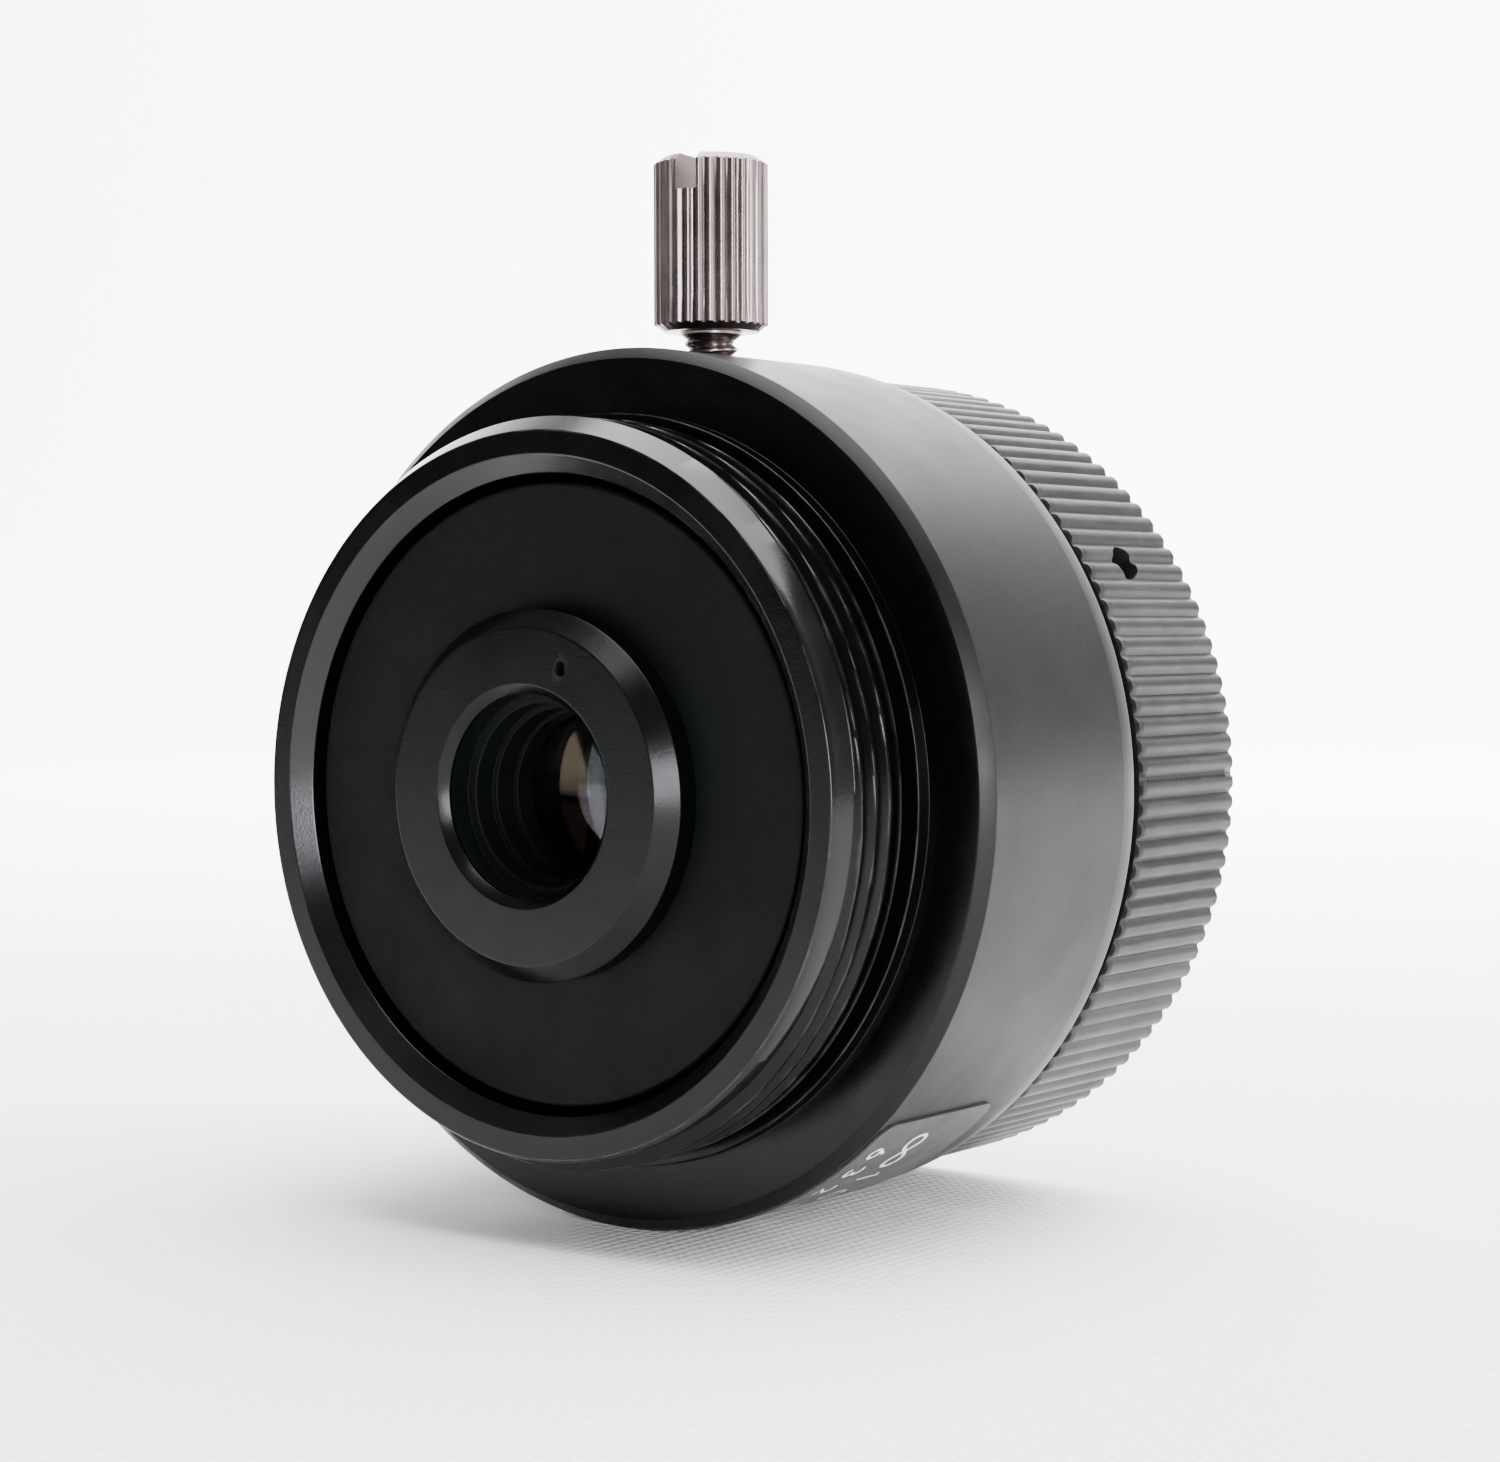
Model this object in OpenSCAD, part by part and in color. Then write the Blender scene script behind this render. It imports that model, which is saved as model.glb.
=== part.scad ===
// Compact fixed-focal-length camera lens with a 1-32 screw mount.
// The optical axis is Y. The mount nose points to -Y and the front glass to +Y.
// The lock screw stands up along +Z. The origin is on the axis, at the mount's flange face.

/* [Mount nose] */
// Outside radius of the mount thread
thread_r = 12.7; // [12.6:0.05:12.8]
// Depth of the mount thread
thread_depth = 0.5; // [0.3:0.05:0.6]
// Distance from one thread crest to the next
thread_pitch = 0.794; // [0.7:0.002:0.85]
// Length of the nose in front of the flange face
nose_len = 4.4; // [4.2:0.1:4.6]

/* [Barrel] */
// Outside radius of the barrel
barrel_r = 15.25; // [15:0.05:15.6]
// Length of the barrel from the flange face
barrel_len = 9.35; // [9:0.05:9.8]
// Size of the bevel at the flange edge of the barrel
barrel_bevel = 0.4; // [0.2:0.05:0.5]

/* [Focus ring] */
// Radius over the ridges of the focus ring
ring_r = 14.9; // [14.7:0.05:15.1]
// Where the focus ring starts along the axis
ring_y = 10.45; // [10.2:0.05:10.8]
// Length of the focus ring
ring_len = 6.65; // [6.4:0.05:7]
// Number of ridges round the focus ring
ring_teeth = 128; // [96:4:144]
// Depth of the grooves between the ridges
ring_groove = 0.16; // [0.1:0.01:0.3]
// Angle of the first set screw, from +Z towards +X
set_screw_turn = 58; // [50:1:70]

/* [Lock screw] */
// Where the lock screw stands along the axis
lock_y = 5.5; // [5:0.1:6]
// Radius of the lock screw's head over its ridges
head_r = 2.05; // [1.9:0.05:2.2]
// Height of the lock screw's head
head_len = 6.2; // [5.5:0.1:7]
// Gap between the head and the barrel when the screw is tight
head_gap = 0.9; // [0.8:0.05:1.2]
// Number of ridges round the head
head_teeth = 30; // [24:2:36]

/* [Rear collar] */
// Outside radius of the rear collar
collar_r = 6.27; // [6.1:0.01:6.4]
// Radius of the viewing hole in the rear collar
collar_hole_r = 3.45; // [3.2:0.05:3.6]

/* [Scale label] */
// Angle of the label's first edge, from +Z towards +X
label_turn = 134.5; // [125:0.5:140]
// Angle that the label covers
label_sweep = 91; // [60:1:110]
// Length of the label along the axis
label_len = 6.7; // [5:0.1:7.5]

/* [Hidden] */
$fn = 96;
ball_fn = 180;
fit = 0.05;
cut = 0.01;

// Radii and places of the barrel
rim_r = 12.2;
cone_len = 0.8;
thread_start = -nose_len + cone_len;
groove_count = 3;
thread_end = thread_start + groove_count * thread_pitch;
crest_half = 0.06;
relief_r = 12.1;
boss_r = 12.95;
boss_len = 0.6;
nose_bore_r = 10.8;
nose_bore_bevel = 0.6;
helicoid_bore_r = 12.3;
helicoid_bore_y = 0.6;
relief_slope = 0.4;
front_bevel = 0.15;
bore_bevel = 0.3;

// Place and thickness of the scale label
label_y = 0.6;
label_thick = 0.08;

// Radii and places of the lens cell
disc_r = 10.5;
disc_y = -3.55;
disc_len = 1;
disc_bevel = 0.12;
cell_neck_r = 9.6;
helicoid_r = helicoid_bore_r - fit;
helicoid_y = 1.2;
seat_r = 13.28;
seat_y = ring_y + 0.15;
cell_end = ring_y + ring_len - 0.4;
front_bore_r = 11.4;
front_lens_y = 11.9;
front_lens_edge = 2;
front_lens_r = 9.75;
front_group_r = 7.3;
rear_group_r = 5.25;
stop_y = 5.4;
rear_lens_y = -1.2;
retainer_thread_r = 5.6;
name_ring_y = 15.2;

// Lens and spacer places along the axis, and the bores of the spacers
third_lens_y = 7.05;
third_lens_len = 0.95;
second_lens_y = 9.2;
second_lens_len = 1.8;
stop_len = 0.2;
stop_bore_r = 2.6;
rear_lens_len = 1.5;
mask_len = 0.1;
mask_bore_r = 4.3;
doublet_y = 1.3;
flint_len = 2.2;
crown_len = 0.7;
front_spacer_bore_r = 6.1;
middle_spacer_bore_r = 6.2;
rear_spacer_bore_r = 4.6;

// Curved lens faces, each as [sphere radius, clear radius]
front_lens_back = [9, 7];
front_lens_front = [22, 9];
second_lens_back = [8.5, 5.4];
second_lens_front = [30, 6.6];
third_lens_back = [22, 6];
third_lens_front = [16, 6];
crown_front = [14, 4.4];
doublet_joint = [9, 4.9];
rear_lens_back = [10, 2.7];
rear_lens_front = [30, 4.2];

// Radii and places of the focus ring and its set screws
ring_bore_r = 13.3;
ring_bore_bevel = 0.5;
set_screw_y = ring_y + 2.65;
set_screw_count = 3;
set_hole_r = 0.65;
set_hole_floor = seat_r - 0.4;
set_screw_r = 0.6;
set_screw_len = 1.1;
set_slot = [0.2, 2, 0.4];
land = 0.34;

// Radii and places of the lock screw
tap_r = 1;
lock_shank_r = 0.95;
pad_len = 0.8;
lock_tip_z = helicoid_r + 0.02;
head_z = barrel_r + head_gap;
head_groove = 0.16;
head_bevel = 0.25;
head_end_r = head_r - 0.35;
head_edge_r = head_r - 0.1;
neck_r = 1.1;
neck_len = 0.35;
driver_slot = [6, 0.8, 1.3];
driver_slot_turn = -79;

// Radii of the rear retainer, the steps down its hole, and its dimple
collar_y = -nose_len - 0.6;
retainer_bore_r = 2.75;
inner_step_r = 2.9;
inner_step_y = collar_y + 3;
outer_step_r = 3.1;
outer_step_y = collar_y + 2.1;
hole_floor_y = collar_y + 1.25;
collar_bevel = 0.62;
hole_bevel = 0.3;
dimple_place_r = 4.6;
dimple_turn = 22;
dimple_r = 0.25;
dimple_depth = 0.2;

// Radii of the front retainer, its spanner slots, and the name ring
front_retainer_bore_r = 9.15;
front_retainer_lip_r = 9.9;
spanner_slot = [1, 0.6, 4];
name_ring_bore_r = 9.95;
name_ring_end = cell_end - 0.1;

// Turns a child drawn along +Z so that it runs along +Y
module along_y() {
    rotate([-90, 0, 0]) children();
}

// A solid of revolution about the optical axis, from [radius, place] points
module turned(points) {
    along_y() rotate_extrude() polygon(points);
}

// A plain round bar about the optical axis
module bar(r, y0, y1) {
    translate([0, y0, 0]) along_y() cylinder(r = r, h = y1 - y0);
}

// A plain tube about the optical axis
module tube(r_out, r_in, y0, y1) {
    difference() {
        bar(r_out, y0, y1);
        bar(r_in, y0 - cut, y1 + cut);
    }
}

// Height of a curved face over the circle that it covers
function sag(face) = face[0] - sqrt(pow(face[0], 2) - pow(face[1], 2));

// The spherical cap that a convex face adds on the side towards dir
module convex_face(y, face, dir) {
    height = sag(face);
    intersection() {
        translate([0, y + dir * (height - face[0]), 0]) sphere(r = face[0], $fn = ball_fn);
        bar(face[1], y - (dir > 0 ? cut : height + 1), y + (dir > 0 ? height + 1 : cut));
    }
}

// The ball that a concave face removes, coming in from the side towards dir
module concave_face(y, face, dir) {
    translate([0, y + dir * (face[0] - sag(face)), 0]) sphere(r = face[0], $fn = ball_fn);
}

// Straight ridges round a disc, as a flat outline
module ridged_disc(r, depth, count) {
    step = 360 / count;
    polygon([
        for (i = [0 : count - 1], p = [[-land, r], [land, r], [0.5, r - depth]])
            [p[1] * cos((i + p[0]) * step), p[1] * sin((i + p[0]) * step)]
    ]);
}

// Turns a child that stands on +Z round the optical axis, towards +X
module radial(turn, y) {
    translate([0, y, 0]) rotate([0, turn, 0]) children();
}

// Repeats a child at each set screw
module at_set_screws() {
    for (i = [0 : set_screw_count - 1])
        radial(set_screw_turn + i * 360 / set_screw_count, set_screw_y) children();
}

module barrel() {
    color("dimgray") difference() {
        turned(concat(
            [
                [nose_bore_r, -nose_len + nose_bore_bevel],
                [nose_bore_r + nose_bore_bevel, -nose_len],
                [rim_r, -nose_len],
                [thread_r, thread_start - crest_half]
            ],
            [
                for (i = [0 : groove_count - 1], p = [
                    [thread_r, crest_half],
                    [thread_r - thread_depth, thread_pitch / 2 - crest_half],
                    [thread_r - thread_depth, thread_pitch / 2 + crest_half],
                    [thread_r, thread_pitch - crest_half]
                ])
                [p[0], thread_start + i * thread_pitch + p[1]]
            ],
            [
                [thread_r, thread_end + crest_half],
                [relief_r, thread_end + relief_slope],
                [relief_r, -boss_len],
                [boss_r, -boss_len],
                [boss_r, 0],
                [barrel_r - barrel_bevel, 0],
                [barrel_r, barrel_bevel],
                [barrel_r, barrel_len - front_bevel],
                [barrel_r - front_bevel, barrel_len],
                [helicoid_bore_r + bore_bevel, barrel_len],
                [helicoid_bore_r, barrel_len - bore_bevel],
                [helicoid_bore_r, helicoid_bore_y],
                [nose_bore_r, helicoid_bore_y]
            ]
        ));
        translate([0, lock_y, helicoid_bore_r - 1]) cylinder(r = tap_r, h = barrel_r);
    }
}

// Thin printed film stuck round the underside of the barrel
module scale_label() {
    color("black") translate([0, label_y, 0]) along_y()
        rotate([0, 0, label_turn - 90]) rotate_extrude(angle = label_sweep)
            translate([barrel_r, 0]) square([label_thick, label_len]);
}

module lens_cell() {
    color("black") difference() {
        turned([
            [retainer_thread_r + fit, disc_y],
            [disc_r - disc_bevel, disc_y],
            [disc_r, disc_y + disc_bevel],
            [disc_r, disc_y + disc_len],
            [cell_neck_r, disc_y + disc_len],
            [cell_neck_r, helicoid_y],
            [helicoid_r, helicoid_y],
            [helicoid_r, seat_y],
            [seat_r, seat_y],
            [seat_r, cell_end],
            [front_bore_r, cell_end],
            [front_bore_r, front_lens_y + front_lens_edge],
            [front_lens_r + fit, front_lens_y + front_lens_edge],
            [front_lens_r + fit, front_lens_y],
            [front_group_r + fit, front_lens_y],
            [front_group_r + fit, stop_y],
            [rear_group_r + fit, stop_y],
            [rear_group_r + fit, rear_lens_y],
            [retainer_thread_r + fit, rear_lens_y]
        ]);
        at_set_screws() translate([0, 0, set_hole_floor]) cylinder(r = set_hole_r, h = 2);
    }
}

module focus_ring() {
    color("gray") difference() {
        translate([0, ring_y, 0]) along_y() linear_extrude(ring_len)
            ridged_disc(ring_r, ring_groove, ring_teeth);
        bar(ring_bore_r, ring_y - cut, ring_y + ring_len + cut);
        turned([
            [ring_bore_r - 1, ring_y + ring_len - ring_bore_bevel],
            [ring_bore_r, ring_y + ring_len - ring_bore_bevel],
            [ring_bore_r + ring_bore_bevel + cut, ring_y + ring_len + cut],
            [ring_bore_r - 1, ring_y + ring_len + cut]
        ]);
        at_set_screws() translate([0, 0, ring_bore_r - 1]) cylinder(r = set_hole_r, h = 3);
    }
}

module focus_set_screws() {
    color("silver") at_set_screws()
        translate([0, 0, set_hole_floor + 0.02]) difference() {
            cylinder(r = set_screw_r, h = set_screw_len);
            translate([0, 0, set_screw_len])
                cube([set_slot[0], set_slot[1], 2 * set_slot[2]], center = true);
        }
}

module lock_screw() {
    color("silver") translate([0, lock_y, 0]) difference() {
        union() {
            translate([0, 0, lock_tip_z + pad_len])
                cylinder(r = lock_shank_r, h = head_z - lock_tip_z - pad_len + cut);
            translate([0, 0, head_z - neck_len])
                cylinder(r1 = lock_shank_r, r2 = neck_r, h = neck_len + cut);
            translate([0, 0, head_z]) cylinder(r1 = head_end_r, r2 = head_edge_r, h = head_bevel);
            translate([0, 0, head_z + head_bevel]) linear_extrude(head_len - 2 * head_bevel)
                ridged_disc(head_r, head_groove, head_teeth);
            translate([0, 0, head_z + head_len - head_bevel])
                cylinder(r1 = head_edge_r, r2 = head_end_r, h = head_bevel);
        }
        translate([0, 0, head_z + head_len]) rotate([0, 0, driver_slot_turn])
            cube([driver_slot[0], driver_slot[1], 2 * driver_slot[2]], center = true);
    }
}

module lock_pad() {
    color("ivory") translate([0, lock_y, lock_tip_z])
        cylinder(r = lock_shank_r - 0.05, h = pad_len - 0.02);
}

module rear_retainer() {
    color("black") difference() {
        turned([
            [retainer_bore_r, rear_lens_y],
            [retainer_bore_r, inner_step_y],
            [inner_step_r, inner_step_y],
            [inner_step_r, outer_step_y],
            [outer_step_r, outer_step_y],
            [outer_step_r, hole_floor_y],
            [collar_hole_r, hole_floor_y],
            [collar_hole_r, collar_y + hole_bevel],
            [collar_hole_r + hole_bevel, collar_y],
            [collar_r - collar_bevel, collar_y],
            [collar_r, collar_y + collar_bevel],
            [collar_r, disc_y],
            [retainer_thread_r, disc_y],
            [retainer_thread_r, rear_lens_y]
        ]);
        radial(dimple_turn, collar_y - 1)
            translate([0, 0, dimple_place_r]) along_y() cylinder(r = dimple_r, h = dimple_depth + 1);
    }
}

module front_retainer() {
    color("black") difference() {
        turned([
            [front_retainer_bore_r, front_lens_y + front_lens_edge],
            [front_bore_r - fit, front_lens_y + front_lens_edge],
            [front_bore_r - fit, name_ring_y],
            [front_retainer_lip_r, name_ring_y]
        ]);
        for (turn = [0, 180])
            radial(turn, name_ring_y) translate([0, 0, front_retainer_bore_r + spanner_slot[2] / 2])
                cube([spanner_slot[0], 2 * spanner_slot[1], spanner_slot[2]], center = true);
    }
}

module name_ring() {
    color("black") turned([
        [name_ring_bore_r, name_ring_y],
        [front_bore_r - fit, name_ring_y],
        [front_bore_r - fit, name_ring_end],
        [name_ring_bore_r + 1.05, name_ring_end],
        [name_ring_bore_r + 0.55, name_ring_end - 0.3]
    ]);
}

module front_lens() {
    color("lightblue", 0.4) difference() {
        union() {
            bar(front_lens_r, front_lens_y, front_lens_y + front_lens_edge);
            convex_face(front_lens_y + front_lens_edge, front_lens_front, 1);
        }
        concave_face(front_lens_y, front_lens_back, -1);
    }
}

module second_lens() {
    end = second_lens_y + second_lens_len;
    color("lightblue", 0.4) difference() {
        union() {
            bar(front_group_r, second_lens_y, end);
            convex_face(end, second_lens_front, 1);
        }
        concave_face(second_lens_y, second_lens_back, -1);
    }
}

module front_spacer() {
    color("black") tube(front_group_r, front_spacer_bore_r, third_lens_y + third_lens_len, second_lens_y);
}

module third_lens() {
    end = third_lens_y + third_lens_len;
    color("lightblue", 0.4) union() {
        bar(front_group_r, third_lens_y, end);
        convex_face(end, third_lens_front, 1);
        convex_face(third_lens_y, third_lens_back, -1);
    }
}

module middle_spacer() {
    color("black") tube(front_group_r, middle_spacer_bore_r, stop_y + stop_len, third_lens_y);
}

module aperture_stop() {
    color("black") tube(front_group_r, stop_bore_r, stop_y, stop_y + stop_len);
}

module crown_lens() {
    end = doublet_y + flint_len + crown_len;
    color("lightblue", 0.4) union() {
        bar(rear_group_r, doublet_y + flint_len, end);
        convex_face(end, crown_front, 1);
        convex_face(doublet_y + flint_len, doublet_joint, -1);
    }
}

module flint_lens() {
    color("lightblue", 0.4) difference() {
        bar(rear_group_r, doublet_y, doublet_y + flint_len);
        concave_face(doublet_y + flint_len, doublet_joint, 1);
    }
}

module light_mask() {
    mask_y = rear_lens_y + rear_lens_len;
    color("black") tube(rear_group_r, mask_bore_r, mask_y, mask_y + mask_len);
}

module rear_spacer() {
    spacer_y = rear_lens_y + rear_lens_len + mask_len;
    color("black") tube(rear_group_r, rear_spacer_bore_r, spacer_y, doublet_y);
}

module rear_lens() {
    color("lightblue", 0.4) union() {
        bar(rear_group_r, rear_lens_y, rear_lens_y + rear_lens_len);
        convex_face(rear_lens_y, rear_lens_back, -1);
        convex_face(rear_lens_y + rear_lens_len, rear_lens_front, 1);
    }
}

barrel();
scale_label();
lens_cell();
focus_ring();
focus_set_screws();
lock_screw();
lock_pad();
rear_retainer();
front_retainer();
front_lens();
second_lens();
front_spacer();
third_lens();
middle_spacer();
aperture_stop();
crown_lens();
flint_lens();
rear_spacer();
light_mask();
rear_lens();
name_ring();
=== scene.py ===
"""Looks for the compact camera lens: turned surfaces, real knurls and threads, coated glass."""
import math

import bpy
import bmesh
from mathutils import Matrix, Vector


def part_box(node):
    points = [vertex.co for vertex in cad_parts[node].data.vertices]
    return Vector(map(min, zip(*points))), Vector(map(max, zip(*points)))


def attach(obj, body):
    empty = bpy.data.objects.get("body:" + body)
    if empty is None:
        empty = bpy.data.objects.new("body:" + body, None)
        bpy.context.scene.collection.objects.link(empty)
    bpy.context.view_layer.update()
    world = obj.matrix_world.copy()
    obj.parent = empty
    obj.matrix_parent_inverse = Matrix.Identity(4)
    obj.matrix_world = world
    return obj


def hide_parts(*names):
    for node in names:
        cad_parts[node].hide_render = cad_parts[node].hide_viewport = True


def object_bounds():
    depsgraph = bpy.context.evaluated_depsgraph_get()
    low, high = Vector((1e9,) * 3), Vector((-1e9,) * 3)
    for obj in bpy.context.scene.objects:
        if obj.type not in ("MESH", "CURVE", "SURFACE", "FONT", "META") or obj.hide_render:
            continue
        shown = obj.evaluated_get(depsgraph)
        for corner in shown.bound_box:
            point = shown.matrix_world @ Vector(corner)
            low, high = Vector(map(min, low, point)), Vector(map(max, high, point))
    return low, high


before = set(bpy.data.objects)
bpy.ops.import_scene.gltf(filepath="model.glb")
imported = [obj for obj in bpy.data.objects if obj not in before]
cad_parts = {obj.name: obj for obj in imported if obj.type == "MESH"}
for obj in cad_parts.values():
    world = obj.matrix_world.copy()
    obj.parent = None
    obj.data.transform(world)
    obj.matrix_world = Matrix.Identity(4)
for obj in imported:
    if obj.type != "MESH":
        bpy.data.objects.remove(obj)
cad_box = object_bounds()

MM = 0.001
TAU = 2 * math.pi


# ---------------------------------------------------------------- sizes in mm, turns in degrees
# Those that a node's box gives are read from the frame. Most of the others repeat a value from
# part.scad, and the rest belong to details that only these meshes have, such as thread run-outs.

def span(node):
    """Lowest and highest corner of a CAD node, in mm."""
    low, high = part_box(node)
    return low / MM, high / MM


BARREL_LOW, BARREL_HIGH = span("barrel")
CELL_LOW, CELL_HIGH = span("lens_cell")
RING_LOW, RING_HIGH = span("focus_ring")
COLLAR_LOW = span("rear_retainer")[0]
SCREW_LOW, SCREW_HIGH = span("lock_screw")
PAD_LOW, PAD_HIGH = span("lock_pad")
LABEL_LOW, LABEL_HIGH = span("scale_label")
BARREL_R = BARREL_HIGH.x
BARREL_END = BARREL_HIGH.y
NOSE_END = BARREL_LOW.y
RING_R = RING_HIGH.x
RING_START = RING_LOW.y
RING_END = RING_HIGH.y
LOCK_Y = (SCREW_LOW.y + SCREW_HIGH.y) / 2

THREAD_R = 12.7
THREAD_DEPTH = 0.5
THREAD_PITCH = 0.794
THREAD_START = NOSE_END + 0.8
THREAD_TURNS = 3
THREAD_END = THREAD_START + THREAD_TURNS * THREAD_PITCH
THREAD_RUN_OUT = 0.05
RIM_R = 12.2
RELIEF_R = 12.1
BOSS_R = 12.95
BOSS_LEN = 0.6
NOSE_BORE_R = 10.8
NOSE_BORE_BEVEL = 0.6
HELICOID_BORE_R = 12.3
HELICOID_BORE_Y = 0.6
BARREL_BEVEL = 0.4
BARREL_TAPER = 0.85
TAP_R = 1.0

DISC_R = 10.5
DISC_LEN = 1
CELL_NECK_R = 9.6
HELICOID_R = 12.25
HELICOID_Y = 1.2
SEAT_R = 13.28
SEAT_Y = RING_START + 0.15
FRONT_BORE_R = 11.4
FRONT_LENS_R = 9.75
FRONT_LENS_Y = 11.9
FRONT_LENS_END = 13.9
FRONT_GROUP_R = 7.3
REAR_GROUP_R = 5.25
GLASS_FIT = 0.05
STOP_Y = 5.4
REAR_LENS_Y = -1.2
COLLAR_BORE_R = 5.65
NAME_RING_Y = 15.2

COLLAR_R = 6.27
COLLAR_BEVEL = 0.62
COLLAR_HOLE_R = 3.45
RETAINER_THREAD_R = 5.6
RETAINER_BORE_R = 2.75
INNER_STEP_R, INNER_STEP_Y = 2.9, COLLAR_LOW.y + 3
OUTER_STEP_R, OUTER_STEP_Y = 3.1, COLLAR_LOW.y + 2.1
HOLE_FLOOR_Y = COLLAR_LOW.y + 1.25
DIMPLE_TURN, DIMPLE_PLACE_R, DIMPLE_R = 22, 4.6, 0.25

RING_BORE_R = 13.3
RING_BORE_BEVEL = 0.5
RING_TEETH = 128
RING_GROOVE = 0.16
SET_SCREW_TURNS = [58, 178, 298]
SET_SCREW_Y = RING_START + 2.65
SET_HOLE_R = 0.65
RING_BAND = 0.17
SEAM_TURN = 88.6
SEAM_HALF = 0.6

HEAD_R = 2.05
HEAD_Z = BARREL_R + 0.9
HEAD_TEETH = 30
HEAD_GROOVE = 0.13
HEAD_END_R = HEAD_R - 0.35
HEAD_EDGE_R = HEAD_R - 0.1
SHANK_R = 0.95
SHANK_PITCH = 0.4
SHANK_GROOVE = 0.17
NECK_R = 1.1
NECK_LEN = 0.35
DRIVER_SLOT = (6, 0.8, 1.3)
DRIVER_SLOT_TURN = -79


# ---------------------------------------------------------------- mesh helpers

def rounded(points, steps=4):
    """A closed outline from (r, y) or (r, y, fillet) points, with each fillet as an arc and a
    few points on the flats beside it, which keep edge wear on the edge."""
    outline = []
    count = len(points)
    beside = (0.04, 0.09, 0.16)
    for i, point in enumerate(points):
        fillet = point[2] if len(point) > 2 else 0
        here = Vector(point[:2])
        if not fillet:
            outline.append(here)
            continue
        back = (Vector(points[i - 1][:2]) - here).normalized()
        ahead = (Vector(points[(i + 1) % count][:2]) - here).normalized()
        half = back.angle(ahead) / 2
        reach = fillet / math.tan(half)
        centre = here + (back + ahead).normalized() * fillet / math.sin(half)
        start = here + back * reach - centre
        turn = start.angle_signed(here + ahead * reach - centre)
        room = [(Vector(points[j % count][:2]) - here).length > 2.5 * reach + 0.6
                for j in (i - 1, i + 1)]
        if room[0]:
            outline += [here + back * (reach + step) for step in reversed(beside)]
        for k in range(steps + 1):
            a = -turn * k / steps
            outline.append(centre + Vector((
                start.x * math.cos(a) - start.y * math.sin(a),
                start.x * math.sin(a) + start.y * math.cos(a))))
        if room[1]:
            outline += [here + ahead * (reach + step) for step in beside]
    return outline


def finish_mesh(bm, name, sharp=28):
    """Turns a bmesh in mm into a linked object in metres, smooth but for its sharp edges."""
    bmesh.ops.remove_doubles(bm, verts=bm.verts, dist=1e-5)
    bmesh.ops.recalc_face_normals(bm, faces=bm.faces)
    bmesh.ops.scale(bm, vec=(MM, MM, MM), verts=bm.verts)
    mesh = bpy.data.meshes.new(name)
    bm.to_mesh(mesh)
    bm.free()
    mesh.shade_smooth()
    mesh.set_sharp_from_angle(angle=math.radians(sharp))
    piece = bpy.data.objects.new(name, mesh)
    bpy.context.scene.collection.objects.link(piece)
    return piece


def lathe(name, outline, segments=256, shape=None, upright_at=None, sharp=28):
    """Revolves a closed (r, y) outline about the optical axis, or about a vertical line at
    y = upright_at. shape(r, y, turn) may change each point's radius."""
    bm = bmesh.new()
    rings = []
    for s in range(segments):
        a = TAU * s / segments
        ring = []
        for r, y in outline:
            radius = shape(r, y, s / segments) if shape else r
            if upright_at is None:
                place = (radius * math.sin(a), y, radius * math.cos(a))
            else:
                place = (radius * math.sin(a), upright_at + radius * math.cos(a), y)
            ring.append(bm.verts.new(place))
        rings.append(ring)
    count = len(outline)
    for s in range(segments):
        here, there = rings[s], rings[(s + 1) % segments]
        for i in range(count):
            j = (i + 1) % count
            bm.faces.new((here[i], here[j], there[j], there[i]))
    bmesh.ops.remove_doubles(bm, verts=bm.verts, dist=1e-5)
    bmesh.ops.dissolve_degenerate(bm, dist=1e-6, edges=bm.edges)
    return finish_mesh(bm, name, sharp)


def cylinder_cutter(place, axis, radius, depth, sides=64):
    """A bare cylinder for cutting, in mm, along axis and centred on place."""
    bm = bmesh.new()
    turn = Vector((0, 0, 1)).rotation_difference(Vector(axis)).to_matrix().to_4x4()
    bmesh.ops.create_cone(bm, cap_ends=True, segments=sides, radius1=radius, radius2=radius,
                          depth=depth, matrix=Matrix.Translation(place) @ turn)
    return finish_mesh(bm, "cutter")


def box_cutter(place, size, turn=0):
    """A bare box for cutting, in mm, turned about +Z."""
    bm = bmesh.new()
    bmesh.ops.create_cube(bm, size=1, matrix=Matrix.Translation(place)
                          @ Matrix.Rotation(math.radians(turn), 4, "Z")
                          @ Matrix.Diagonal((*size, 1)))
    return finish_mesh(bm, "cutter")


def carve(piece, cutters, sharp=28):
    """Cuts each cutter out of the piece, and removes the cutters."""
    for cutter in cutters:
        cut = piece.modifiers.new("cut", "BOOLEAN")
        cut.operation = "DIFFERENCE"
        cut.solver = "EXACT"
        cut.object = cutter
        bpy.context.view_layer.objects.active = piece
        with bpy.context.temp_override(object=piece, active_object=piece):
            bpy.ops.object.modifier_apply(modifier=cut.name)
        bpy.data.objects.remove(cutter)
    piece.data.shade_smooth()
    piece.data.set_sharp_from_angle(angle=math.radians(sharp))


def radial(turn, y, r):
    """The point at angle turn from +Z towards +X, at radius r."""
    a = math.radians(turn)
    return Vector((r * math.sin(a), y, r * math.cos(a)))


def radial_cutter(turn, y, r_from, r_to, radius):
    """A radial hole's cutter between two radii."""
    return cylinder_cutter(radial(turn, y, (r_from + r_to) / 2), radial(turn, 0, 1),
                           radius, r_to - r_from)


def groove(phase, crest=0.16, root=0.84):
    """Thread profile: 0 on the crest's flat, 1 on the root's flat."""
    d = abs(phase - round(phase)) * 2
    return min(1, max(0, (d - crest) / (root - crest)))


def soft_groove(phase, crest=0.3, root=1.0):
    """The same with rounded shoulders, as on a rolled knurl or a small thread."""
    t = groove(phase, crest, root)
    return t * t * (3 - 2 * t)


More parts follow.
